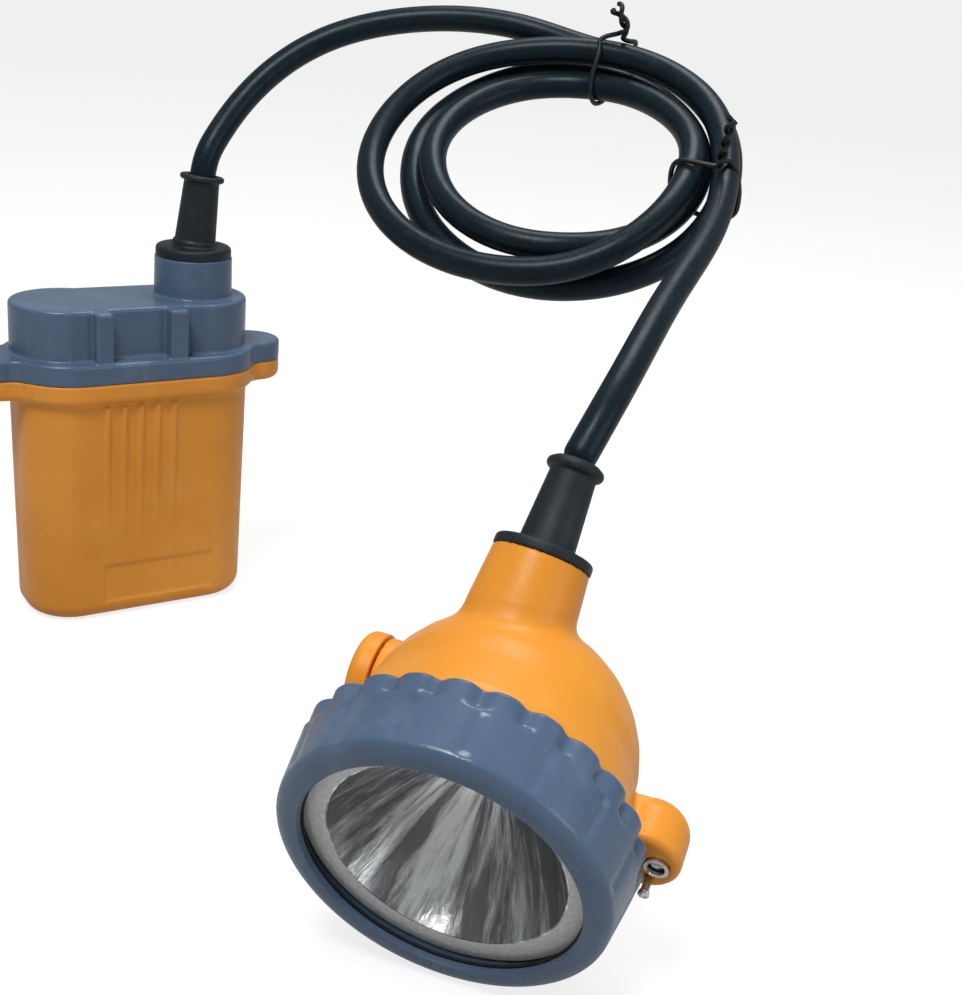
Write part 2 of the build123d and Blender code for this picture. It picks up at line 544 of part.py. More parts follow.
def head_leads():
    leads = []
    start = neck_frame().location * Location((0, 0, -15.2))
    for side in (-1, 1):
        point = start.position + Vector(side * 1.6, 0, 0)
        leads.append(solid_of(wire([tuple(point), (side * 2.4, 9.5, -50.0), (side * 4.5, 4.6, -42.7)], 0.8)))
    return leads


def switch_body():
    body = Pos(-20.6, 0, KNOB_Z) * Rot(0, 90, 0) * Cylinder(6.0, 7.0)
    body -= Pos(-22, 0, KNOB_Z) * Rot(0, 90, 0) * Cylinder(KNOB_SHAFT_RADIUS + KNOB_CLEARANCE, 8)
    return body


def switch_knob():
    length = KNOB_OUTER - KNOB_INNER
    knob = Cylinder(KNOB_RADIUS, length)
    knob = fillet(knob.edges().sort_by(Axis.Z)[-1], 2.4)
    knob -= Pos(0, 0, length / 2 - KNOB_SLOT / 2) * Box(3.0, 15.0, KNOB_SLOT)
    knob -= Pos(0, 0, -length / 2) * Cylinder(KNOB_SHAFT_RADIUS + 0.02, 2 * 3.5)
    return Pos(-(KNOB_INNER + KNOB_OUTER) / 2, 0, KNOB_Z) * Rot(0, -90, 0) * knob


def knob_shaft():
    inner_end, outer_end = 18.5, KNOB_INNER + 3.3
    return Pos(-(inner_end + outer_end) / 2, 0, KNOB_Z) * Rot(0, 90, 0) * Cylinder(
        KNOB_SHAFT_RADIUS, outer_end - inner_end)


def socket_sleeve():
    return tube(SOCKET_RADIUS, SOCKET_MOUTH, LUG_FRONT - 9.5, LUG_FRONT + 0.5, (SOCKET_X, SOCKET_Y))


def socket_contact():
    body = tube(CONTACT_RADIUS, 0, LUG_FRONT - 9.5, LUG_FRONT - 0.6, (SOCKET_X, SOCKET_Y))
    return body - Pos(SOCKET_X, SOCKET_Y, LUG_FRONT - 0.6) * Box(3, 0.5, 1.4)


def socket_insulator():
    outer, inner = SOCKET_MOUTH - 0.02, CONTACT_RADIUS + 0.02
    return tube(outer, inner, LUG_FRONT - 9.5, LUG_FRONT - 4.0, (SOCKET_X, SOCKET_Y))


def contact_pin():
    """Sprung charging contact with a flared tip."""
    tail, tip = LUG_FRONT - 10.0, LUG_FRONT + 4.6
    shank = [(0, tail), (PIN_RADIUS, tail), (PIN_RADIUS, tip - 1.4)]
    return Pos(PIN_X, PIN_Y, 0) * revolved(shank + [(PIN_FLARE, tip - 0.6), (PIN_FLARE, tip), (0, tip)])


def hook_blade():
    """Steel blade on the headpiece's back that slips down into a helmet bracket."""
    middle = (HOOK_TOP + HOOK_BOTTOM) / 2
    length = HOOK_TOP - HOOK_BOTTOM
    foot = Pos(0, middle, DOME_FLAT - 0.65) * Box(HOOK_WIDTH, length, 1.2)
    stand = Pos(0, HOOK_TOP - 0.6, DOME_FLAT - 4.6) * Box(HOOK_WIDTH, 1.2, 7.5)
    blade = Pos(0, middle, DOME_FLAT - HOOK_GAP) * Box(HOOK_WIDTH, length, HOOK_SHEET)
    body = foot + stand + blade
    for y in HOOK_SCREWS:
        body -= tube(1.5, 0, DOME_FLAT - 3, DOME_FLAT + 1, (0, y))
        body -= tube(3.0, 0, DOME_FLAT - 10, DOME_FLAT - 6, (0, y))
    return body


def hook_screws():
    screws = []
    for y in HOOK_SCREWS:
        screw = tube(2.4, 0, DOME_FLAT - 2.7, DOME_FLAT - 1.3, (0, y))
        screw += tube(1.2, 0, DOME_FLAT - 1.3, DOME_FLAT + 3.5, (0, y))
        screw -= Pos(0, y, DOME_FLAT - 2.7) * Box(3.4, 0.7, 0.9)
        screws.append(solid_of(screw))
    return screws


# ================================================================ cable
def coil_axes():
    """Level direction to the right in the coil's plane, and the direction up its slope."""
    right = Vector(0, 0, 1).cross(COIL_NORMAL).normalized()
    return right, COIL_NORMAL.cross(right)


def lay_at(angle):
    """Offsets of the cable in the bundle at an angle round the coil, eased between the lay points."""
    for i in range(len(BUNDLE_LAY) - 1):
        if BUNDLE_LAY[i][0] >= angle >= BUNDLE_LAY[i + 1][0]:
            break
    t = (angle - BUNDLE_LAY[i][0]) / (BUNDLE_LAY[i + 1][0] - BUNDLE_LAY[i][0])
    span = BUNDLE_LAY[i + 1][0] - BUNDLE_LAY[i][0]
    offsets = []
    for k in (1, 2):
        p0, p1 = BUNDLE_LAY[i][k], BUNDLE_LAY[i + 1][k]
        m0, m1 = lay_slope(i, k) * span, lay_slope(i + 1, k) * span
        offsets.append((2 * t ** 3 - 3 * t ** 2 + 1) * p0 + (t ** 3 - 2 * t ** 2 + t) * m0
                       + (3 * t ** 2 - 2 * t ** 3) * p1 + (t ** 3 - t ** 2) * m1)
    return offsets


def lay_slope(i, k):
    """Rate of change of an offset at a lay point."""
    j, m = max(i - 1, 0), min(i + 1, len(BUNDLE_LAY) - 1)
    return (BUNDLE_LAY[m][k] - BUNDLE_LAY[j][k]) / (BUNDLE_LAY[m][0] - BUNDLE_LAY[j][0])


def coil_point(angle):
    right, up = coil_axes()
    outward, along = lay_at(angle)
    a = math.radians(angle)
    radial = right * math.cos(a) + up * math.sin(a)
    return COIL_CENTRE + radial * (COIL_RADIUS + outward) + COIL_NORMAL * along


def swing_point():
    """Where the cable turns over the pack boot."""
    frame = boot_frame()
    return frame.origin + frame.z_dir * (BOOT_LENGTH - SWING_DEPTH)


def ball_point():
    """Centre of the cable's ball end over the headpiece boot."""
    return (head_frame().location * neck_frame().location * Location((0, 0, PIVOT_REACH))).position


def cable_path():
    points = [swing_point()] + [Vector(*p) for p in RISE]
    first, last = BUNDLE_LAY[0][0] - 6, BUNDLE_LAY[-1][0]
    points += [coil_point(a) for a in range(first, last, -COIL_STEP)]
    points += [Vector(*p) for p in FALL] + [ball_point()]
    return Spline(*points)


def coiled_cable():
    path = cable_path()
    body = sweep(Plane(origin=path @ 0, z_dir=path % 0) * Circle(CABLE_RADIUS), path=path)
    return body + Pos(*tuple(path @ 1)) * Sphere(CABLE_RADIUS)


def coil_tie(angle, slant, knot, first_tail, last_tail):
    """Wire tie: one wire led down its first tail, round the strands of the bundle and out along its last."""
    right, up = coil_axes()
    reach = CABLE_RADIUS + TIE_RADIUS + TIE_CLEARANCE

    def hugging(turn):
        here = angle + slant * turn / 360
        a, b = math.radians(here), math.radians(knot + turn)
        radial = right * math.cos(a) + up * math.sin(a)
        strands = [lay_at(here - 360 * k) for k in range(4)]
        outward, along = max(strands, key=lambda p: p[0] * math.cos(b) + p[1] * math.sin(b))
        away = radial * math.cos(b) + COIL_NORMAL * math.sin(b)
        place = COIL_CENTRE + radial * (COIL_RADIUS + outward) + COIL_NORMAL * along + away * reach
        return place, away, radial.cross(COIL_NORMAL)

    def tail(turn, offsets):
        place, away, run = hugging(turn)
        return [place + away * rise + run * sideways for rise, sideways in offsets]

    loop = [hugging(turn)[0] for turn in range(20, 341, 20)]
    return wire(list(reversed(tail(0, first_tail))) + [hugging(0)[0]] + loop + [hugging(360)[0]]
                + tail(360, last_tail), TIE_RADIUS)


# ================================================================ build
os.makedirs("parts", exist_ok=True)
HEAD = head_frame().location

PACK_NODES = {
    "battery_case": battery_case, "battery_cover": battery_cover, "cover_gasket": cover_gasket,
    "cover_screws": cover_screws, "cover_inserts": cover_inserts, "battery_cells": battery_cells,
    "cell_strips": cell_strips, "cell_pads": cell_pads, "protection_board": protection_board,
    "protection_parts": protection_parts, "battery_leads": battery_leads, "pack_cable_boot": pack_cable_boot,
    "pack_cable_tail": pack_cable_tail, "pack_cable_clamp": pack_cable_clamp, "belt_clip": belt_clip,
    "clip_screws": clip_screws, "coiled_cable": coiled_cable,
}
HEAD_NODES = {
    "headpiece_housing": headpiece_housing, "bezel_ring": bezel_ring, "bezel_oring": bezel_oring,
    "lens_gasket": lens_gasket, "lens": lens, "reflector": reflector, "light_emitter": light_emitter,
    "star_board": star_board, "heat_sink": heat_sink, "driver_board": driver_board,
    "driver_parts": driver_parts, "head_cable_boot": head_cable_boot,
    "head_cable_tail": head_cable_tail, "head_cable_clamp": head_cable_clamp,
    "head_leads": head_leads, "switch_body": switch_body, "switch_knob": switch_knob,
    "knob_shaft": knob_shaft,
    "socket_sleeve": socket_sleeve, "socket_contact": socket_contact, "socket_insulator": socket_insulator,
    "contact_pin": contact_pin, "hook_blade": hook_blade, "hook_screws": hook_screws,
}

for node, make in PACK_NODES.items():
    made = make()
    export(node, *(made if isinstance(made, list) else [solid_of(made)]))
for node, make in HEAD_NODES.items():
    made = make()
    solids = made if isinstance(made, list) else [solid_of(made)]
    export(node, *[HEAD * s for s in solids])
for node, lay in TIES.items():
    export(node, solid_of(coil_tie(*lay)))
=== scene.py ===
import bmesh
import bpy
import json
import math
import numpy as np
from mathutils import Matrix, Vector


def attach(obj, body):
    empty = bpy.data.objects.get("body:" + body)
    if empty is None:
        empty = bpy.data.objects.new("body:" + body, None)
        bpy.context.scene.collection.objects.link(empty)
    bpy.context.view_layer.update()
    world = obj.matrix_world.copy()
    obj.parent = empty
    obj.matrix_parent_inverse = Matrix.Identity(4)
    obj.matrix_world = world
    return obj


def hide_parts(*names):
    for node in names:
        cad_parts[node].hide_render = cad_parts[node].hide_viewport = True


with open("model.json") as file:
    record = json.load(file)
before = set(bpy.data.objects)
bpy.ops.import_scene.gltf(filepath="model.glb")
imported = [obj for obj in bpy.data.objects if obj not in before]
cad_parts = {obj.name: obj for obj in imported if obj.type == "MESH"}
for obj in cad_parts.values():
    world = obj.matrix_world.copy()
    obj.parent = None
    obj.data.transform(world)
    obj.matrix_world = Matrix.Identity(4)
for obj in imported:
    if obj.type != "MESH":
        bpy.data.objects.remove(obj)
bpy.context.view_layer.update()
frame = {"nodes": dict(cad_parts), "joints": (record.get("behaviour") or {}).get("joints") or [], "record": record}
MM = 0.001
JOINTS = {joint["name"]: joint for joint in frame["joints"]}
BODY_OF = {node: body for body, nodes in frame["record"]["behaviour"]["bodies"].items() for node in nodes}
SLOT_OF = {part["node"]: part["material_slot"] for part in frame["record"]["subparts"]}

# ---------------------------------------------------------------- camera and light
CAMERA_PLACE = (-0.152, -0.422, 0.206)
CAMERA_AZIMUTH, CAMERA_PITCH, CAMERA_ROLL = 34.8, -20.4, -5.2
CAMERA_LENS, CAMERA_SENSOR = 50.65, 36.0
LIGHT_AIM = (0.02, -0.12, 0.08)
WORLD_TINT, WORLD_STRENGTH = (0.96, 0.98, 1.0), 0.34
WHITE = (1.0, 1.0, 1.0)

# ---------------------------------------------------------------- surfaces
WELD_GAP_M = 1e-6
CREASE_ANGLE = 32.0
EASE_FACTOR = 0.5
FILLET_ROUNDS, FILLET_FACTOR = 60, 0.6
PAINTED_REFLECTION_WAY = (-0.20, -0.98, 0.0)        # way from the bowl's middle to its brightest painted reflection streaks
CORNER_STEPS = 4

# ---------------------------------------------------------------- cable and coil, millimetres and degrees
CABLE_RADIUS = 4.0
COIL_CENTRE = Vector((98.0, -82.0, 158.0))
COIL_NORMAL = Vector((-0.405, -0.367, 0.838)).normalized()
COIL_RADIUS = 46.5
COIL_PASSES = 4
COIL_STEP = 20
COIL_LEAD = 6                             # degrees skipped after the first lay point
CABLE_STEP, CABLE_SIDES = 1.2, 32
# How each pass lies in the bundle: degrees round the coil, offset outwards, offset along the coil's normal
BUNDLE_LAY = [
    (96, 8.5, -1.0), (53, 7.6, -3.0), (10, 5.6, -4.2), (-34, 4.0, -7.2), (-78, -0.5, -8.4),
    (-158, -5.5, -5.0), (-211, -2.0, -5.8), (-264, 1.0, -5.4), (-307, -1.0, -5.4), (-350, -3.0, -5.0),
    (-394, -5.0, -3.0), (-438, -5.6, 1.9), (-518, -11.8, 1.5), (-624, -8.0, -3.3), (-667, -8.6, 0.5),
    (-710, -5.4, 3.8), (-732, -3.8, 5.0), (-754, -1.0, 5.4), (-776, 2.2, 4.0), (-798, 3.5, 1.4),
    (-878, 6.8, 0.6), (-931, 4.0, 3.0), (-984, 0.0, 3.8), (-1070, 3.6, 4.8),
]
# Free lengths of cable: from the pack's boot up to the coil, and from the coil down to the headpiece
RISE = [(25.1, 0.5, 145.2), (29.5, 2.2, 151.8), (38.0, 5.2, 161.0), (49.5, 5.6, 171.6), (67.4, 2.3, 182.8),
        (87.0, -8.1, 189.8), (104.8, -22.0, 192.3), (118.3, -36.6, 191.0)]
FALL = [(120.6, -132.6, 153.4), (104.0, -146.0, 144.6), (83.5, -159.1, 135.2), (65.9, -171.2, 127.0),
        (53.0, -179.8, 119.9), (44.2, -184.6, 113.4)]
TUBE_CREASE, TUBE_UV_PER_MM = 60.0, 0.1
BALL_RINGS, BALL_RING_ANGLE = 8, 11.0
TIE_RADIUS, TIE_CLEARANCE, TIE_SIDES = 0.75, 0.25, 12
TIE_LOOP = range(20, 341, 16)             # degrees round the bundle from the knot
TIE_STEP, TAIL_STEP = 0.35, 0.5
TIE_TWIST = 8.0                           # millimetres to a whole turn of the tail's twist
TWIST_GAP = 1.05                          # from the tail's middle to each of its wires, in radii
SPLAY_FROM = 0.75                         # share of the tail after which its two tips part
# Each wire tie: angle round the coil, how far it slants going round the bundle, the bearing of its knot
# (from outwards towards the coil's normal), its twisted tail as rise and run from the bundle, and its splay
TIES = {
    "coil_tie_top": (84.0, -9.0, 80.0, [(1.8, 6.6), (3.6, 7.8), (6.8, 6.6), (10.2, 4.4)], 1.5),
    "coil_tie_side": (-10.0, 5.0, 84.0, [(1.4, -0.9), (4.6, -1.8), (9.4, -2.6), (14.6, -3.4)], 0.7),
}


def frame_matrix(origin, z_axis, x_axis):
    """Matrix of a frame from its origin, its Z and a direction its X leans to."""
    z = Vector(z_axis).normalized()
    x = Vector(x_axis)
    x = (x - z * x.dot(z)).normalized()
    y = z.cross(x)
    return Matrix.Translation(Vector(origin)) @ Matrix((x, y, z)).transposed().to_4x4()


# The headpiece's own frame: Z out of the lamp, Y up, X to the charging side
HEAD = frame_matrix(JOINTS["bezel_turn"]["pos_m"], JOINTS["bezel_turn"]["axis"],
                    -Vector(JOINTS["knob_turn"]["axis"]))


# ================================================================ node materials
def new_look(name):
    """Empty node material with one surface shader."""
    look = bpy.data.materials.new(name)
    look.use_nodes = True
    look.node_tree.nodes.clear()
    output = look.node_tree.nodes.new("ShaderNodeOutputMaterial")
    shader = look.node_tree.nodes.new("ShaderNodeBsdfPrincipled")
    look.node_tree.links.new(shader.outputs[0], output.inputs[0])
    return look, shader


def join(look, value, socket):
    """A link if the value is another node's output, else a plain value."""
    if isinstance(value, bpy.types.NodeSocket):
        look.node_tree.links.new(value, socket)
    else:
        socket.default_value = value


def add(look, kind, inputs, **settings):
    """One shader node with its settings and inputs; returns its first output."""
    node = look.node_tree.nodes.new("ShaderNode" + kind)
    for key, value in settings.items():
        setattr(node, key, value)
    for key, value in inputs.items():
        join(look, value, node.inputs[key])
    return node.outputs[0]


def add_output(look, kind, output):
    """One shader node without inputs; returns the output asked for."""
    return look.node_tree.nodes.new("ShaderNode" + kind).outputs[output]


def shown(look, surface):
    """Lead a shader to the material's own output."""
    output = next(node for node in look.node_tree.nodes if node.type == "OUTPUT_MATERIAL")
    look.node_tree.links.new(surface, output.inputs[0])


def place(look):
    """Position on the piece, in metres."""
    return add_output(look, "TexCoord", "Object")


def noise(look, where, scale, detail=3.0, rough=0.55):
    """Cloudy value around a half."""
    return add(look, "TexNoise", {"Vector": where, "Scale": scale, "Detail": detail, "Roughness": rough})


def stretched(look, where, scale):
    """Position scaled along each axis, for grain that runs one way."""
    return add(look, "Mapping", {"Vector": where, "Scale": scale})


def between(look, value, low, high, to_low=0.0, to_high=1.0):
    """Value mapped from one range to another, held at the ends."""
    return add(look, "MapRange", {"Value": value, "From Min": low, "From Max": high, "To Min": to_low,
                                  "To Max": to_high}, clamp=True)


def mixed(look, share, first, second):
    """The first colour, with a share of the second."""
    return add(look, "MixRGB", {"Fac": share, "Color1": first, "Color2": second})


def maths(look, operation, first, second):
    """Sum, product or the like of two values."""
    return add(look, "Math", {0: first, 1: second}, operation=operation)


def bump(look, height, depth_mm, strength=1.0, under=None):
    """Normal bent by a height field of a real depth."""
    inputs = {"Height": height, "Distance": depth_mm * MM, "Strength": strength}
    if under is not None:
        inputs["Normal"] = under
    return add(look, "Bump", inputs)


def colour(red, green, blue):
    """Opaque linear colour."""
    return (red, green, blue, 1.0)


def moulded(name, base, deep, pale, rough=0.38, gloss=0.5):
    """Moulded plastic: fine spark-eroded grain, slow colour drift, scuffs and paler worn edges."""
    look, shader = new_look(name)
    where = place(look)
    drift = between(look, noise(look, where, 26.0, 4.0), 0.3, 0.7)
    body = mixed(look, drift, deep, base)
    upright = stretched(look, where, (60.0, 60.0, 22.0))
    smudge = between(look, noise(look, upright, 1.0, 6.0, 0.7), 0.56, 0.78)
    body = mixed(look, maths(look, "MULTIPLY", smudge, 0.35), body, pale)
    edge = between(look, add_output(look, "NewGeometry", "Pointiness"), 0.53, 0.62)
    patchy = between(look, noise(look, where, 240.0, 5.0), 0.42, 0.62)
    worn = maths(look, "MULTIPLY", maths(look, "MULTIPLY", edge, patchy), 0.25)
    body = mixed(look, worn, body, pale)
    join(look, body, shader.inputs["Base Color"])
    fine = noise(look, where, 1400.0, 2.0)
    scratch = between(look, noise(look, stretched(look, where, (900.0, 900.0, 30.0)), 1.0, 2.0), 0.62, 0.7)
    uneven = between(look, noise(look, where, 90.0, 5.0), 0.3, 0.75, rough - 0.07, rough + 0.1)
    scratched = maths(look, "ADD", uneven, maths(look, "MULTIPLY", scratch, 0.12))
    join(look, scratched, shader.inputs["Roughness"])
    soft = bump(look, noise(look, where, 55.0, 2.0), 0.25, 0.35)
    join(look, bump(look, fine, 0.04, 1.0, soft), shader.inputs["Normal"])
    shader.inputs["Specular IOR Level"].default_value = gloss
    return look


def rubber(name, base, dusty, rough=0.5, grain=0.04):
    """Moulded rubber: low sheen, faint dust in patches, paler edges, fine grain."""
    look, shader = new_look(name)
    where = place(look)
    dust = between(look, noise(look, where, 130.0, 6.0, 0.65), 0.5, 0.75)
    body = mixed(look, maths(look, "MULTIPLY", dust, 0.4), base, dusty)
    edge = between(look, add_output(look, "NewGeometry", "Pointiness"), 0.53, 0.62)
    body = mixed(look, maths(look, "MULTIPLY", edge, 0.3), body, dusty)
    join(look, body, shader.inputs["Base Color"])
    join(look, between(look, noise(look, where, 70.0, 5.0), 0.3, 0.7, rough - 0.08, rough + 0.12),
         shader.inputs["Roughness"])
    soft = bump(look, noise(look, where, 120.0, 3.0), 0.15, 0.4)
    join(look, bump(look, noise(look, where, 1500.0, 2.0), grain, 1.0, soft), shader.inputs["Normal"])
    shader.inputs["Specular IOR Level"].default_value = 0.35
    return look


def cable_jacket(name):
    """Extruded cable jacket: streaks along it, faint lay of the cores under the skin, handling marks."""
    look, shader = new_look(name)
    uv = add_output(look, "TexCoord", "UV")
    where = place(look)
    streak = noise(look, stretched(look, uv, (22.0, 8.0, 1.0)), 1.0, 3.0)
    marks = between(look, noise(look, where, 160.0, 6.0, 0.7), 0.52, 0.76)
    body = mixed(look, between(look, streak, 0.35, 0.65), colour(0.004, 0.010, 0.016),
                 colour(0.007, 0.016, 0.024))
    body = mixed(look, maths(look, "MULTIPLY", marks, 0.2), body, colour(0.035, 0.050, 0.058))
    join(look, body, shader.inputs["Base Color"])
    mottle = noise(look, stretched(look, uv, (9.0, 25.0, 1.0)), 1.0, 4.0)
    uneven = between(look, mottle, 0.3, 0.7, 0.28, 0.42)
    join(look, maths(look, "ADD", uneven, maths(look, "MULTIPLY", marks, 0.1)), shader.inputs["Roughness"])
    lay = bump(look, noise(look, where, 95.0, 2.0), 0.35, 0.5)
    skin = bump(look, streak, 0.03, 1.0, lay)
    join(look, bump(look, noise(look, where, 1800.0, 2.0), 0.02, 1.0, skin), shader.inputs["Normal"])
    shader.inputs["Specular IOR Level"].default_value = 0.18
    shader.inputs["Specular Tint"].default_value = colour(0.78, 0.92, 1.0)
    return look


def metal(name, base, rough=0.28, brushed=(40.0, 40.0, 900.0), tarnish=0.3, dark=(0.2, 0.19, 0.17)):
    """Bright metal with fine drawn lines, tarnish in patches and uneven polish."""
    look, shader = new_look(name)
    where = place(look)
    patch = between(look, noise(look, where, 180.0, 6.0, 0.65), 0.45, 0.75)
    body = mixed(look, maths(look, "MULTIPLY", patch, tarnish), colour(*base), colour(*dark))
    join(look, body, shader.inputs["Base Color"])
    shader.inputs["Metallic"].default_value = 1.0
    lines = noise(look, stretched(look, where, brushed), 1.0, 3.0)
    join(look, between(look, lines, 0.3, 0.7, rough - 0.08, rough + 0.12), shader.inputs["Roughness"])
    join(look, bump(look, lines, 0.02, 0.8), shader.inputs["Normal"])
    return look


def mirror_bowl(name):
    """Metallised bowl, broken into light and dark radial streaks that narrow towards the emitter: painted
    reflections in its colour, which also bend its normals.
    """
    look, shader = new_look(name)
    flat = add(look, "VectorMath", {0: place(look), 1: (1.0, 1.0, 0.0)}, operation="MULTIPLY")
    bearing = add(look, "VectorMath", {0: flat}, operation="NORMALIZE")
    depth = add(look, "VectorMath", {0: place(look), 1: (0.0, 0.0, 9.0)}, operation="MULTIPLY")
    where = add(look, "VectorMath", {0: bearing, 1: depth}, operation="ADD")
    wide = noise(look, where, 3.4, 2.0, 0.5)
    thin = noise(look, where, 15.0, 4.0, 0.65)
    streak = maths(look, "ADD", maths(look, "MULTIPLY", wide, 0.6), maths(look, "MULTIPLY", thin, 0.4))
    # Painted highlight: the streaks on one narrow wedge of the bowl are pushed brighter.
    dot = add(look, "VectorMath", {0: bearing, 1: PAINTED_REFLECTION_WAY}, operation="DOT_PRODUCT")
    towards = dot.node.outputs["Value"]
    painted_glint = maths(look, "MULTIPLY", between(look, towards, 0.955, 0.995), 0.07)
    share = between(look, maths(look, "ADD", streak, painted_glint), 0.46, 0.62)
    # Painted reflections: the streaks turn the metal's colour from dark grey to near white.
    body = mixed(look, share, colour(0.15, 0.15, 0.16), colour(0.94, 0.945, 0.955))
    join(look, body, shader.inputs["Base Color"])
    shader.inputs["Metallic"].default_value = 1.0
    join(look, between(look, thin, 0.3, 0.7, 0.10, 0.26), shader.inputs["Roughness"])
    ripple = bump(look, noise(look, place(look), 140.0, 2.0), 0.2, 0.4)
    join(look, bump(look, streak, 1.2, 0.5, ripple), shader.inputs["Normal"])
    return look


def sugar_rim(name):
    """Unpolished rim of the bowl: off-white with a coarse sparkling grain."""
    look, shader = new_look(name)
    where = place(look)
    crumbs = noise(look, where, 900.0, 4.0, 0.7)
    body = mixed(look, between(look, crumbs, 0.35, 0.65), colour(0.74, 0.73, 0.71),
                 colour(0.96, 0.955, 0.94))
    join(look, body, shader.inputs["Base Color"])
    join(look, between(look, crumbs, 0.3, 0.7, 0.3, 0.6), shader.inputs["Roughness"])
    join(look, bump(look, crumbs, 0.08, 1.0), shader.inputs["Normal"])
    return look


def clear_window(name):
    """Clear hard plastic: sharp reflections on its front, faint smears and hairline scratches."""
    look, shader = new_look(name)
    look.node_tree.nodes.remove(shader)
    where = place(look)
    smear = between(look, noise(look, where, 60.0, 5.0), 0.5, 0.8, 0.01, 0.08)
    ripple = bump(look, noise(look, where, 35.0, 2.0), 0.05, 0.5)
    gloss = add(look, "BsdfGlossy", {"Color": colour(*WHITE), "Roughness": smear, "Normal": ripple})
    through = add(look, "BsdfTransparent", {"Color": colour(0.985, 0.99, 0.985)})
    facing = add(look, "Fresnel", {"IOR": 1.5, "Normal": ripple})
    front = maths(look, "SUBTRACT", 1.0, add_output(look, "NewGeometry", "Backfacing"))
    lines = noise(look, stretched(look, where, (1200.0, 40.0, 40.0)), 1.0, 2.0)
    hair = between(look, lines, 0.66, 0.72, 0.0, 0.03)
    share = maths(look, "MULTIPLY", maths(look, "ADD", maths(look, "MULTIPLY", facing, 0.6), hair), front)
    shown(look, add(look, "MixShader", {0: share, 1: through, 2: gloss}))
    return look


def wrapped(name, base, pale, rough=0.3):
    """Smooth plastic film or board surface with faint blotches."""
    look, shader = new_look(name)
    where = place(look)
    blotch = between(look, noise(look, where, 220.0, 5.0), 0.35, 0.7)
    join(look, mixed(look, blotch, base, pale), shader.inputs["Base Color"])
    join(look, between(look, noise(look, where, 400.0, 3.0), 0.3, 0.7, rough, rough + 0.15),
         shader.inputs["Roughness"])
    join(look, bump(look, noise(look, where, 900.0, 3.0), 0.03), shader.inputs["Normal"])
    return look


LOOKS = {
    "head_orange": moulded("head_orange", colour(0.87, 0.345, 0.036), colour(0.80, 0.300, 0.028),
                           colour(0.92, 0.48, 0.13), rough=0.36, gloss=0.26),
    # case_orange is the same orange plastic as head_orange, kept as a second material with a darker deep tone:
    # that darkening is painted shade on the case's front.
    "case_orange": moulded("case_orange", colour(0.86, 0.340, 0.040), colour(0.74, 0.275, 0.024),
                           colour(0.88, 0.46, 0.14), gloss=0.4),
    "grey_plastic": moulded("grey_plastic", colour(0.092, 0.146, 0.240), colour(0.074, 0.118, 0.198),
                            colour(0.22, 0.29, 0.38), rough=0.26, gloss=0.36),
    "black_rubber": rubber("black_rubber", colour(0.006, 0.013, 0.019), colour(0.030, 0.040, 0.046)),
    "seal_rubber": rubber("seal_rubber", colour(0.008, 0.008, 0.008), colour(0.022, 0.022, 0.022), 0.6),
    "foam": rubber("foam", colour(0.03, 0.03, 0.032), colour(0.07, 0.07, 0.07), 0.8, 0.2),
    "cable_jacket": cable_jacket("cable_jacket"),
    "tie_wire": rubber("tie_wire", colour(0.006, 0.009, 0.013), colour(0.025, 0.03, 0.035), 0.42),
    "clear_lens": clear_window("clear_lens"),
    "mirror_bowl": mirror_bowl("mirror_bowl"),
    "sugar_rim": sugar_rim("sugar_rim"),
    "steel": metal("steel", (0.66, 0.65, 0.63)),
    "nickel": metal("nickel", (0.70, 0.68, 0.62), 0.3),
    "brass": metal("brass", (0.78, 0.56, 0.26), 0.3, tarnish=0.4, dark=(0.3, 0.18, 0.07)),
    "aluminium": metal("aluminium", (0.80, 0.81, 0.82), 0.35),
    "cell_wrap": wrapped("cell_wrap", colour(0.02, 0.10, 0.26), colour(0.03, 0.14, 0.34)),
    "board": wrapped("board", colour(0.01, 0.11, 0.04), colour(0.02, 0.17, 0.07)),
    "chip": wrapped("chip", colour(0.012, 0.012, 0.014), colour(0.03, 0.03, 0.033), 0.45),
    "led_yellow": wrapped("led_yellow", colour(0.90, 0.72, 0.12), colour(0.95, 0.85, 0.35), 0.15),
    "lead_wire": wrapped("lead_wire", colour(0.40, 0.015, 0.010), colour(0.5, 0.03, 0.02)),
    "white_plastic": wrapped("white_plastic", colour(0.70, 0.70, 0.66), colour(0.82, 0.82, 0.79)),
}


# ================================================================ shaping
def in_scene(name, data):
    """New object of the scene round a mesh, a lamp or the camera."""
    holder = bpy.data.objects.new(name, data)
    bpy.context.scene.collection.objects.link(holder)
    return holder


def piece_of(name, mesh, node, looks, where=None):
    """A finished piece that stands for a CAD node and rides on its body."""
    piece = in_scene(name, mesh)
    for look in looks:
        mesh.materials.append(LOOKS[look])
    if where is not None:
        piece.matrix_world = where
    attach(piece, BODY_OF[node])
    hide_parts(node)
    return piece


def shade(mesh, angle=None):
    """Smooth shading, kept sharp over edges beyond an angle."""
    mesh.polygons.foreach_set("use_smooth", [True] * len(mesh.polygons))
    if angle is not None:
        mesh.set_sharp_from_angle(angle=math.radians(angle))


def soften(piece, voxel_mm, rounds):
    """Rebuild a piece as an even net and ease it, so that its edges are rounded as moulded ones are."""
    remesh = piece.modifiers.new("even net", "REMESH")
    remesh.mode = "VOXEL"
    remesh.voxel_size = voxel_mm * MM
    remesh.use_smooth_shade = True
    ease = piece.modifiers.new("ease", "SMOOTH")
    ease.iterations = rounds
    ease.factor = EASE_FACTOR


def apply_modifiers(piece):
    """Make the shape that the modifiers give the piece's own mesh."""
    shown = piece.evaluated_get(bpy.context.evaluated_depsgraph_get())
    mesh = bpy.data.meshes.new_from_object(shown)
    piece.modifiers.clear()
    piece.data = mesh


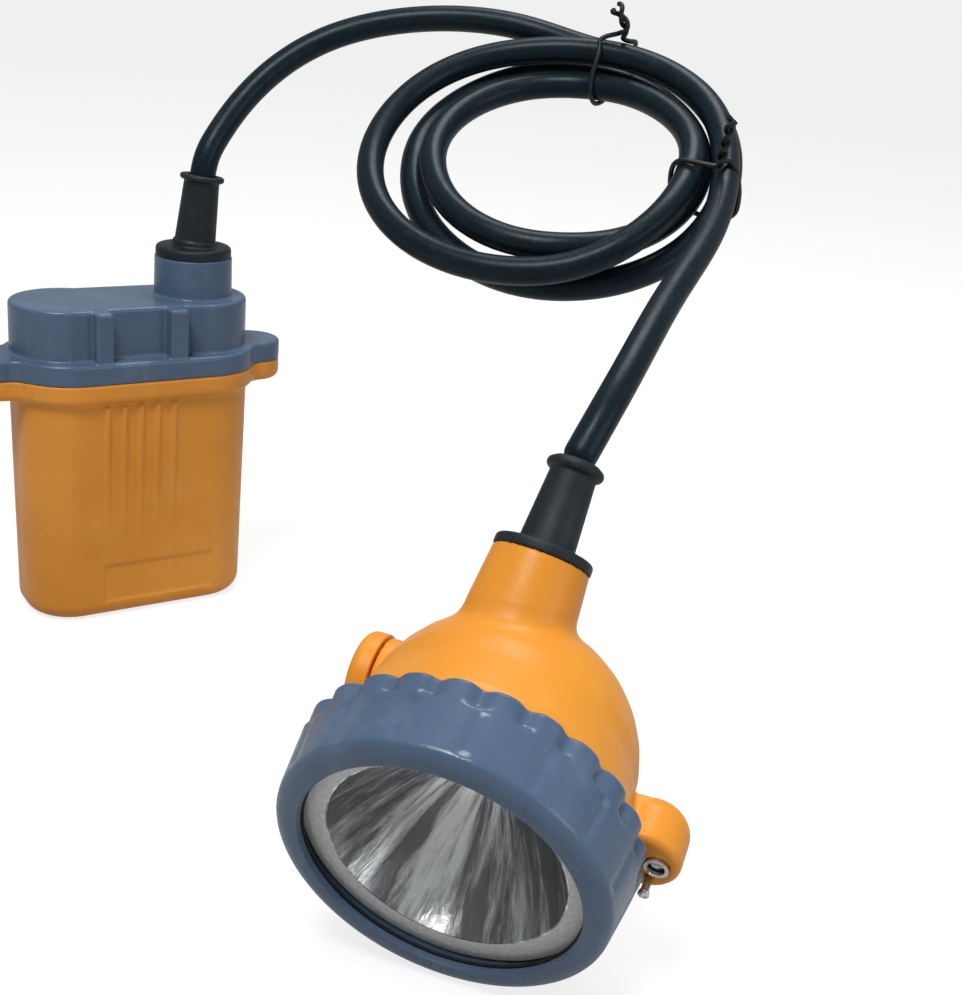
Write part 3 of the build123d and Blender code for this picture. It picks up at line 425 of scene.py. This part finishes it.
def ease_where(piece, chosen):
    """Relax the chosen vertices towards their neighbours, which makes a hard inner corner a soft fillet."""
    mesh = piece.data
    place_of = np.empty(len(mesh.vertices) * 3)
    mesh.vertices.foreach_get("co", place_of)
    place_of = place_of.reshape(-1, 3)
    ends = np.empty(len(mesh.edges) * 2, dtype=np.int64)
    mesh.edges.foreach_get("vertices", ends)
    first, second = ends.reshape(-1, 2).T
    picked = chosen(place_of / MM)
    count = np.bincount(np.concatenate([first, second]), minlength=len(place_of))[:, None]
    for _ in range(FILLET_ROUNDS):
        total = np.zeros_like(place_of)
        np.add.at(total, first, place_of[second])
        np.add.at(total, second, place_of[first])
        place_of[picked] += FILLET_FACTOR * (total / count - place_of)[picked]
    mesh.vertices.foreach_set("co", place_of.ravel())
    mesh.update()


def welded_copy(node):
    """The CAD node's surface with its split vertices joined."""
    shape = bmesh.new()
    shape.from_mesh(frame["nodes"][node].data)
    bmesh.ops.remove_doubles(shape, verts=shape.verts, dist=WELD_GAP_M)
    mesh = bpy.data.meshes.new(node + "_surface")
    shape.to_mesh(mesh)
    shape.free()
    mesh.materials.clear()
    return mesh


def carried(node, look, voxel_mm=None, rounds=None):
    """A CAD node's own shape with a look: softened edges, or crisp ones if no voxel is given."""
    mesh = welded_copy(node)
    shade(mesh, None if voxel_mm else CREASE_ANGLE)
    piece = piece_of(node + "_finish", mesh, node, [look])
    if voxel_mm:
        soften(piece, voxel_mm, rounds)
        apply_modifiers(piece)
    return piece


def rounded(profile):
    """Closed profile of (radius, height, rounding) with each corner turned into a short curve."""
    points = []
    for i, (r, z, size) in enumerate(profile):
        if size == 0:
            points.append((r, z))
            continue
        corner = Vector((r, z))
        before = Vector(profile[i - 1][:2]) - corner
        after = Vector(profile[(i + 1) % len(profile)][:2]) - corner
        start = corner + before.normalized() * min(size, before.length * 0.49)
        end = corner + after.normalized() * min(size, after.length * 0.49)
        for k in range(CORNER_STEPS + 1):
            t = k / CORNER_STEPS
            point = start * (1 - t) ** 2 + corner * (2 * t * (1 - t)) + end * t ** 2
            points.append((point.x, point.y))
    return points


def lathed(points, segments, closed=True, shape=None):
    """Mesh turned about Z from (radius, height) points; shape(angle, r, z) may change a radius."""
    rings = []
    mesh = bmesh.new()
    for r, z in points:
        ring = []
        for k in range(segments):
            a = 2 * math.pi * k / segments
            turned = shape(a, r, z) if shape else r
            ring.append(mesh.verts.new((turned * math.cos(a) * MM, turned * math.sin(a) * MM, z * MM)))
        rings.append(ring)
    for lower, upper in zip(rings, rings[1:] + rings[:1] if closed else rings[1:]):
        for k in range(segments):
            n = (k + 1) % segments
            mesh.faces.new((lower[k], lower[n], upper[n], upper[k]))
    bmesh.ops.recalc_face_normals(mesh, faces=mesh.faces)
    made = bpy.data.meshes.new("lathed")
    mesh.to_mesh(made)
    mesh.free()
    return made


# ================================================================ cable
def coil_axes():
    """The level way to the right in the coil's plane, and the way up in it."""
    right = Vector((0, 0, 1)).cross(COIL_NORMAL).normalized()
    return right, COIL_NORMAL.cross(right)


def lay_slope(i, k):
    """Rate of change of an offset at a lay point."""
    j, m = max(i - 1, 0), min(i + 1, len(BUNDLE_LAY) - 1)
    return (BUNDLE_LAY[m][k] - BUNDLE_LAY[j][k]) / (BUNDLE_LAY[m][0] - BUNDLE_LAY[j][0])


def lay_at(angle):
    """Offsets of the cable in the bundle at an angle round the coil, eased between the lay points."""
    for i in range(len(BUNDLE_LAY) - 1):
        if BUNDLE_LAY[i][0] >= angle >= BUNDLE_LAY[i + 1][0]:
            break
    span = BUNDLE_LAY[i + 1][0] - BUNDLE_LAY[i][0]
    t = (angle - BUNDLE_LAY[i][0]) / span
    offsets = []
    for k in (1, 2):
        p0, p1 = BUNDLE_LAY[i][k], BUNDLE_LAY[i + 1][k]
        m0, m1 = lay_slope(i, k) * span, lay_slope(i + 1, k) * span
        offsets.append((2 * t ** 3 - 3 * t ** 2 + 1) * p0 + (t ** 3 - 2 * t ** 2 + t) * m0
                       + (3 * t ** 2 - 2 * t ** 3) * p1 + (t ** 3 - t ** 2) * m1)
    return offsets


def coil_point(angle):
    """Middle of the cable at an angle round the coil."""
    right, up = coil_axes()
    outward, along = lay_at(angle)
    a = math.radians(angle)
    radial = right * math.cos(a) + up * math.sin(a)
    return COIL_CENTRE + radial * (COIL_RADIUS + outward) + COIL_NORMAL * along


def smooth_path(points, step):
    """Even points along a smooth curve led through given points."""
    p = np.array([tuple(q) for q in points])
    gaps = np.linalg.norm(np.diff(p, axis=0), axis=1)
    s = np.concatenate([[0], np.cumsum(gaps)])
    n = len(p)
    system, right = np.zeros((n, n)), np.zeros((n, 3))
    system[0, 0] = system[-1, -1] = 1.0
    for i in range(1, n - 1):
        system[i, i - 1], system[i, i + 1] = gaps[i - 1], gaps[i]
        system[i, i] = 2 * (gaps[i - 1] + gaps[i])
        right[i] = 6 * ((p[i + 1] - p[i]) / gaps[i] - (p[i] - p[i - 1]) / gaps[i - 1])
    bend = np.linalg.solve(system, right)
    where = np.arange(0, s[-1], step)
    where = np.append(where, s[-1])
    i = np.clip(np.searchsorted(s, where, side="right") - 1, 0, n - 2)
    h = gaps[i][:, None]
    a = (s[i + 1] - where)[:, None] / h
    b = 1 - a
    return a * p[i] + b * p[i + 1] + ((a ** 3 - a) * bend[i] + (b ** 3 - b) * bend[i + 1]) * h ** 2 / 6


def tube_mesh(path, radius, sides, name, round_end=False):
    """Round tube along a path in millimetres, closed at both ends, with lengthwise texture coordinates."""
    p = np.array(path)
    tangents = np.gradient(p, axis=0)
    tangents /= np.linalg.norm(tangents, axis=1)[:, None]
    side = np.cross(tangents[0], [0.0, 0.0, 1.0])
    if np.linalg.norm(side) < 1e-3:
        side = np.cross(tangents[0], [0.0, 1.0, 0.0])
    side /= np.linalg.norm(side)
    stations = []
    length = np.concatenate([[0], np.cumsum(np.linalg.norm(np.diff(p, axis=0), axis=1))])
    for i in range(len(p)):
        side = side - tangents[i] * np.dot(side, tangents[i])
        side /= np.linalg.norm(side)
        stations.append((p[i], radius, tangents[i], side.copy(), length[i]))
    if round_end:
        for k in range(1, BALL_RINGS + 1):
            a = math.radians(BALL_RING_ANGLE * k)
            ahead = radius * math.sin(a)
            stations.append((p[-1] + tangents[-1] * ahead, radius * math.cos(a), tangents[-1], side.copy(),
                             length[-1] + ahead))
    rings = []
    shape = bmesh.new()
    uv = shape.loops.layers.uv.new("lay")
    for centre, size, forward, across, _ in stations:
        up = np.cross(forward, across)
        ring = []
        for k in range(sides):
            a = 2 * math.pi * k / sides
            q = (centre + size * (across * math.cos(a) + up * math.sin(a))) * MM
            ring.append(shape.verts.new(tuple(q)))
        rings.append(ring)
    for i in range(len(rings) - 1):
        for k in range(sides):
            n = (k + 1) % sides
            face = shape.faces.new((rings[i][k], rings[i][n], rings[i + 1][n], rings[i + 1][k]))
            for loop, (u, v) in zip(face.loops, ((k, i), (k + 1, i), (k + 1, i + 1), (k, i + 1))):
                loop[uv].uv = (u / sides, stations[v][4] * TUBE_UV_PER_MM)
    shape.faces.new(list(reversed(rings[0])))
    shape.faces.new(rings[-1])
    bmesh.ops.recalc_face_normals(shape, faces=shape.faces)
    mesh = bpy.data.meshes.new(name)
    shape.to_mesh(mesh)
    shape.free()
    shade(mesh, TUBE_CREASE)
    return mesh


def build_cable():
    """The coiled cable as one smooth tube, from the pack's boot to the ball end in the headpiece's boot."""
    swing = Vector(JOINTS["cable_swing"]["pos_m"]) / MM
    ball = Vector(JOINTS["head_nod"]["pos_m"]) / MM
    points = [swing] + [Vector(q) for q in RISE]
    first, last = BUNDLE_LAY[0][0] - COIL_LEAD, BUNDLE_LAY[-1][0]
    points += [coil_point(a) for a in range(first, last, -COIL_STEP)]
    points += [Vector(q) for q in FALL] + [ball]
    path = smooth_path(points, CABLE_STEP)
    mesh = tube_mesh(path, CABLE_RADIUS, CABLE_SIDES, "cable_jacket", round_end=True)
    piece_of("cable_jacket", mesh, "coiled_cable", ["cable_jacket"])


def hugging(tie_angle, slant, knot, turn):
    """Place on a wire drawn round the bundle, the way off the bundle there and the way along it."""
    right, up = coil_axes()
    here = tie_angle + slant * turn / 360
    a, b = math.radians(here), math.radians(knot + turn)
    radial = right * math.cos(a) + up * math.sin(a)
    strands = [lay_at(here - 360 * k) for k in range(COIL_PASSES)]
    outward, along = max(strands, key=lambda p: p[0] * math.cos(b) + p[1] * math.sin(b))
    away = radial * math.cos(b) + COIL_NORMAL * math.sin(b)
    reach = CABLE_RADIUS + TIE_RADIUS + TIE_CLEARANCE
    on_wire = COIL_CENTRE + radial * (COIL_RADIUS + outward) + COIL_NORMAL * along + away * reach
    return on_wire, away, radial.cross(COIL_NORMAL)


def build_tie(node, angle, slant, knot, tail, splay):
    """Wire tie: one wire round the bundle, its two ends twisted together and splayed at their tips."""
    loop = [hugging(angle, slant, knot, turn)[0] for turn in TIE_LOOP]
    root, away, run = hugging(angle, slant, knot, 0)
    centre_line = smooth_path([root + away * rise + run * sideways for rise, sideways in tail], TAIL_STEP)
    count = len(centre_line)

    def leg(phase):
        points = []
        for k in range(count):
            a = phase + 2 * math.pi * k * TAIL_STEP / TIE_TWIST
            ahead = Vector(centre_line[min(k + 1, count - 1)] - centre_line[max(k - 1, 0)]).normalized()
            across = ahead.cross(away.cross(run)).normalized()
            parted = max(0.0, k / (count - 1) - SPLAY_FROM) / (1.0 - SPLAY_FROM)
            gap = TIE_RADIUS * TWIST_GAP + splay * parted
            turned = across * math.cos(a) + ahead.cross(across) * math.sin(a)
            points.append(Vector(centre_line[k]) + turned * gap)
        return points

    path = smooth_path(list(reversed(leg(0.0))) + loop + leg(math.pi), TIE_STEP)
    piece_of(node + "_wire", tube_mesh(path, TIE_RADIUS, TIE_SIDES, node + "_wire"), node, ["tie_wire"])


# ================================================================ headpiece
NECK_TOP, NECK_TILT, NECK_SIDE = np.array((-1.6, 30.5, -66.0)), 53.0, 3.5
NECK_RADIUS, NECK_ROOT_RADIUS, NECK_REACH = 11.4, 13.8, 26.0
DOME_CENTRE, DOME_RADIUS = np.array((0.0, 0.0, -34.0)), 32.0
FILLET_REACH, SKIN_MARGIN = 3.6, 0.8
BEZEL_FRONT_RADIUS, BEZEL_BACK_RADIUS, BEZEL_LENGTH = 37.0, 39.1, 19.4
BEZEL_MOUTH, BEZEL_BORE, LIP_DEPTH = 31.0, 33.15, 1.8
COLLAR_SKIN = 3.0                         # notches and valleys reach only this far in
SIDE_FRONT, SIDE_BACK, SIDE_STEPS = 3.2, 1.4, 24
FLUTES, FLUTE_DEPTH, FLUTE_SHARE, FLUTE_BOW = 25, 1.35, 0.21, 0.12
FLUTE_PARTS = 18                          # facets to a flute
COLLAR_FRONT, COLLAR_FADE = 12.9, 1.4
VALLEYS, VALLEY_OFFSET, VALLEY_HALF, VALLEY_DEPTH = 16, 16.5, 2.4, 0.5
VALLEY_FRONT, VALLEY_FRONT_FADE, VALLEY_BACK, VALLEY_BACK_FADE = 1.6, 2.5, 13.4, 1.6
BOWL_MOUTH, BOWL_THROAT, BOWL_FRONT, BOWL_BACK = 26.5, 4.5, -4.6, -33.0
BOWL_STEPS, BOWL_PARTS, BOWL_CREASE = 28, 192, 40.0
WALL_OUT, WALL_BACK, RIM_RADIUS, RIM_THICKNESS = 1.2, 0.4, 32.4, 1.0


def at_neck_foot(points):
    """True for points near both the neck's cone and the dome's ball."""
    turn = np.array(HEAD.to_3x3())
    local = (points - np.array(HEAD.translation) / MM) @ turn
    tilt, lean = math.radians(NECK_TILT), math.radians(NECK_SIDE)
    axis = np.array((math.sin(lean), math.cos(lean) * math.cos(tilt), -math.cos(lean) * math.sin(tilt)))
    down = -(local - NECK_TOP) @ axis
    off_axis = np.linalg.norm(local - NECK_TOP + down[:, None] * axis, axis=1)
    cone = NECK_RADIUS + (NECK_ROOT_RADIUS - NECK_RADIUS) * down / NECK_REACH
    off_ball = np.linalg.norm(local - DOME_CENTRE, axis=1) - DOME_RADIUS
    on_outside = (off_axis > cone - SKIN_MARGIN) & (off_ball > -SKIN_MARGIN)
    return on_outside & (np.abs(off_axis - cone) < FILLET_REACH) & (np.abs(off_ball) < FILLET_REACH)


def smooth_step(value):
    """Zero up to 0, one from 1 on, and eased in between."""
    t = min(max(value, 0.0), 1.0)
    return t * t * (3 - 2 * t)


def collar_radius(angle, r, z):
    """Radius of the bezel: notches between round lobes at the back, long shallow valleys in its middle."""
    if r < BEZEL_FRONT_RADIUS - COLLAR_SKIN:
        return r
    pitch = angle * FLUTES / (2 * math.pi)
    off_notch = abs((pitch + 0.5) % 1.0 - 0.5)
    notch = math.exp(-(off_notch / FLUTE_SHARE) ** 2) + FLUTE_BOW * (2 * off_notch - 1) ** 2
    notch *= FLUTE_DEPTH * smooth_step((-z - COLLAR_FRONT) / COLLAR_FADE)
    spacing = 360 / VALLEYS
    off_valley = abs((math.degrees(angle) - VALLEY_OFFSET + spacing / 2) % spacing - spacing / 2)
    valley = VALLEY_DEPTH * math.exp(-(off_valley / VALLEY_HALF) ** 2)
    valley *= smooth_step((-z - VALLEY_FRONT) / VALLEY_FRONT_FADE)
    valley *= smooth_step((VALLEY_BACK + z) / VALLEY_BACK_FADE)
    return r - notch - valley


def build_bezel():
    """Screwed collar round the window."""
    outer = [(BEZEL_MOUTH, -0.2, 0), (BEZEL_MOUTH + 0.4, 0.0, 0.3), (BEZEL_FRONT_RADIUS - 2.6, 0.0, 2.2),
             (BEZEL_FRONT_RADIUS - 0.3, -1.2, 1.8), (BEZEL_FRONT_RADIUS, -SIDE_FRONT, 1.2)]
    for k in range(1, SIDE_STEPS):
        t = k / SIDE_STEPS
        outer.append((BEZEL_FRONT_RADIUS + (BEZEL_BACK_RADIUS - BEZEL_FRONT_RADIUS) * t,
                      -SIDE_FRONT - (BEZEL_LENGTH - SIDE_FRONT - SIDE_BACK) * t, 0))
    outer += [(BEZEL_BACK_RADIUS, -BEZEL_LENGTH + SIDE_BACK, 1.0),
              (BEZEL_BACK_RADIUS - 1.3, -BEZEL_LENGTH, 1.0), (BEZEL_BORE, -BEZEL_LENGTH, 0.4),
              (BEZEL_BORE, -LIP_DEPTH, 0.3), (BEZEL_MOUTH, -LIP_DEPTH, 0.3)]
    mesh = lathed(rounded(outer), FLUTES * FLUTE_PARTS, shape=collar_radius)
    mesh.transform(HEAD)
    shade(mesh)
    piece = piece_of("bezel_ring_finish", mesh, "bezel_ring", ["grey_plastic"])
    flats = piece.modifiers.new("flats", "WEIGHTED_NORMAL")
    flats.keep_sharp = True


def build_reflector():
    """Metallised bowl with its unpolished rim."""
    bowl = []
    for i in range(BOWL_STEPS + 1):
        r = BOWL_THROAT + (BOWL_MOUTH - BOWL_THROAT) * i / BOWL_STEPS
        share = (r * r - BOWL_THROAT ** 2) / (BOWL_MOUTH ** 2 - BOWL_THROAT ** 2)
        bowl.append((r, BOWL_BACK + (BOWL_FRONT - BOWL_BACK) * share))
    outside = [(r + WALL_OUT, z - WALL_BACK) for r, z in reversed(bowl[:-1])]
    rim_back = BOWL_FRONT - RIM_THICKNESS
    rim = [(BOWL_MOUTH + 0.3, BOWL_FRONT + 0.02), (RIM_RADIUS - 0.2, BOWL_FRONT - 0.02),
           (RIM_RADIUS, BOWL_FRONT - 0.2), (RIM_RADIUS, rim_back), (BOWL_MOUTH + WALL_OUT, rim_back)]
    mesh = lathed(bowl + rim + outside, BOWL_PARTS)
    polished = (BOWL_MOUTH + 0.2) * MM
    for face in mesh.polygons:
        if math.hypot(face.center.x, face.center.y) > polished:
            face.material_index = 1
    shade(mesh, BOWL_CREASE)
    piece_of("reflector_finish", mesh, "reflector", ["mirror_bowl", "sugar_rim"], HEAD)


# ================================================================ stage
FLOOR_RADIUS, FLOOR_BEND, WALL_HEIGHT = 2600.0, 900.0, 1500.0
BEND_STEPS, STAGE_PARTS = 12, 96
FLOOR_GLOW, GLOSSY_SHARE = 0.80, 0.3


def pale_floor():
    """Even pale floor: lit by itself for the camera and in part for reflections, a plain grey otherwise."""
    look, shader = new_look("pale_floor")
    blotch = noise(look, place(look), 3.0)
    grey = mixed(look, blotch, colour(0.44, 0.44, 0.44), colour(0.50, 0.50, 0.50))
    join(look, grey, shader.inputs["Base Color"])
    shader.inputs["Roughness"].default_value = 0.85
    shader.inputs["Specular IOR Level"].default_value = 0.1
    glow = add(look, "Emission", {"Color": colour(*WHITE), "Strength": FLOOR_GLOW})
    pale = add(look, "BsdfDiffuse", {"Color": colour(0.28, 0.28, 0.28)})
    lit = add(look, "AddShader", {0: glow, 1: pale})
    mirrored = maths(look, "MULTIPLY", add_output(look, "LightPath", "Is Glossy Ray"), GLOSSY_SHARE)
    seen = maths(look, "MAXIMUM", add_output(look, "LightPath", "Is Camera Ray"), mirrored)
    shown(look, add(look, "MixShader", {0: seen, 1: shader.outputs[0], 2: lit}))
    return look


def build_stage():
    """Floor that curves up into a wall far round the lamp."""
    profile = [(0.001, 0.0), (FLOOR_RADIUS, 0.0)]
    for k in range(1, BEND_STEPS + 1):
        a = math.radians(90.0 * k / BEND_STEPS)
        profile.append((FLOOR_RADIUS + FLOOR_BEND * math.sin(a), FLOOR_BEND * (1 - math.cos(a))))
    profile.append((FLOOR_RADIUS + FLOOR_BEND, FLOOR_BEND + WALL_HEIGHT))
    mesh = lathed(profile, STAGE_PARTS, closed=False)
    shade(mesh)
    mesh.materials.append(pale_floor())
    in_scene("floor", mesh)


def soft_light(name, place_at, size, power, tint=WHITE):
    """Rectangular lamp aimed at the middle of the object."""
    lamp = bpy.data.lights.new(name, "AREA")
    lamp.shape = "RECTANGLE"
    lamp.size, lamp.size_y = size
    lamp.energy = power
    lamp.color = tint
    holder = in_scene(name, lamp)
    holder.location = place_at
    holder.rotation_mode = "QUATERNION"
    holder.rotation_quaternion = (Vector(LIGHT_AIM) - Vector(place_at)).to_track_quat("-Z", "Y")


def build_light():
    """Dim even surroundings and three soft lamps."""
    world = bpy.data.worlds.new("studio")
    bpy.context.scene.world = world
    world.use_nodes = True
    sky = world.node_tree.nodes["Background"]
    sky.inputs[0].default_value = colour(*WORLD_TINT)
    sky.inputs[1].default_value = WORLD_STRENGTH
    soft_light("key_light", (-0.42, -0.40, 1.10), (0.34, 0.34), 8.5, (1.0, 0.985, 0.96))
    soft_light("top_light", (0.40, 0.20, 1.15), (0.55, 0.35), 5.5)
    soft_light("fill_light", (0.55, -1.15, 0.45), (0.7, 0.5), 2.6, (0.95, 0.97, 1.0))


def build_camera():
    """Camera of the main view."""
    camera = bpy.data.cameras.new("camera")
    camera.lens = CAMERA_LENS
    camera.sensor_width = CAMERA_SENSOR
    camera.sensor_fit = "AUTO"
    holder = in_scene("camera", camera)
    turn = Matrix.Rotation(math.radians(-CAMERA_AZIMUTH), 4, "Z")
    tilt = Matrix.Rotation(math.radians(90.0 + CAMERA_PITCH), 4, "X")
    roll = Matrix.Rotation(math.radians(-CAMERA_ROLL), 4, "Z")
    holder.matrix_world = Matrix.Translation(CAMERA_PLACE) @ turn @ tilt @ roll
    bpy.context.scene.camera = holder


# ================================================================ build
# Nodes whose CAD surface is rounded off: look, net size in millimetres, rounds of easing
SOFTENED = {
    "battery_case": ("case_orange", 0.45, 3), "battery_cover": ("grey_plastic", 0.4, 3),
    "headpiece_housing": ("head_orange", 0.45, 6), "switch_knob": ("head_orange", 0.3, 3),
    "pack_cable_boot": ("black_rubber", 0.3, 3), "head_cable_boot": ("black_rubber", 0.3, 3),
    "belt_clip": ("steel", 0.3, 1), "hook_blade": ("steel", 0.25, 1),
}
# Nodes whose surface is built anew
BUILT = ("coiled_cable", "coil_tie_top", "coil_tie_side", "bezel_ring", "reflector")

for node, (look, voxel, rounds) in SOFTENED.items():
    softened = carried(node, look, voxel, rounds)
    if node == "headpiece_housing":
        ease_where(softened, at_neck_foot)
build_cable()
for node, lay in TIES.items():
    build_tie(node, *lay)
build_bezel()
build_reflector()
for node in frame["nodes"]:
    if node not in SOFTENED and node not in BUILT:
        carried(node, SLOT_OF[node])
build_stage()
build_light()
build_camera()
bpy.context.scene.view_settings.view_transform = "Standard"
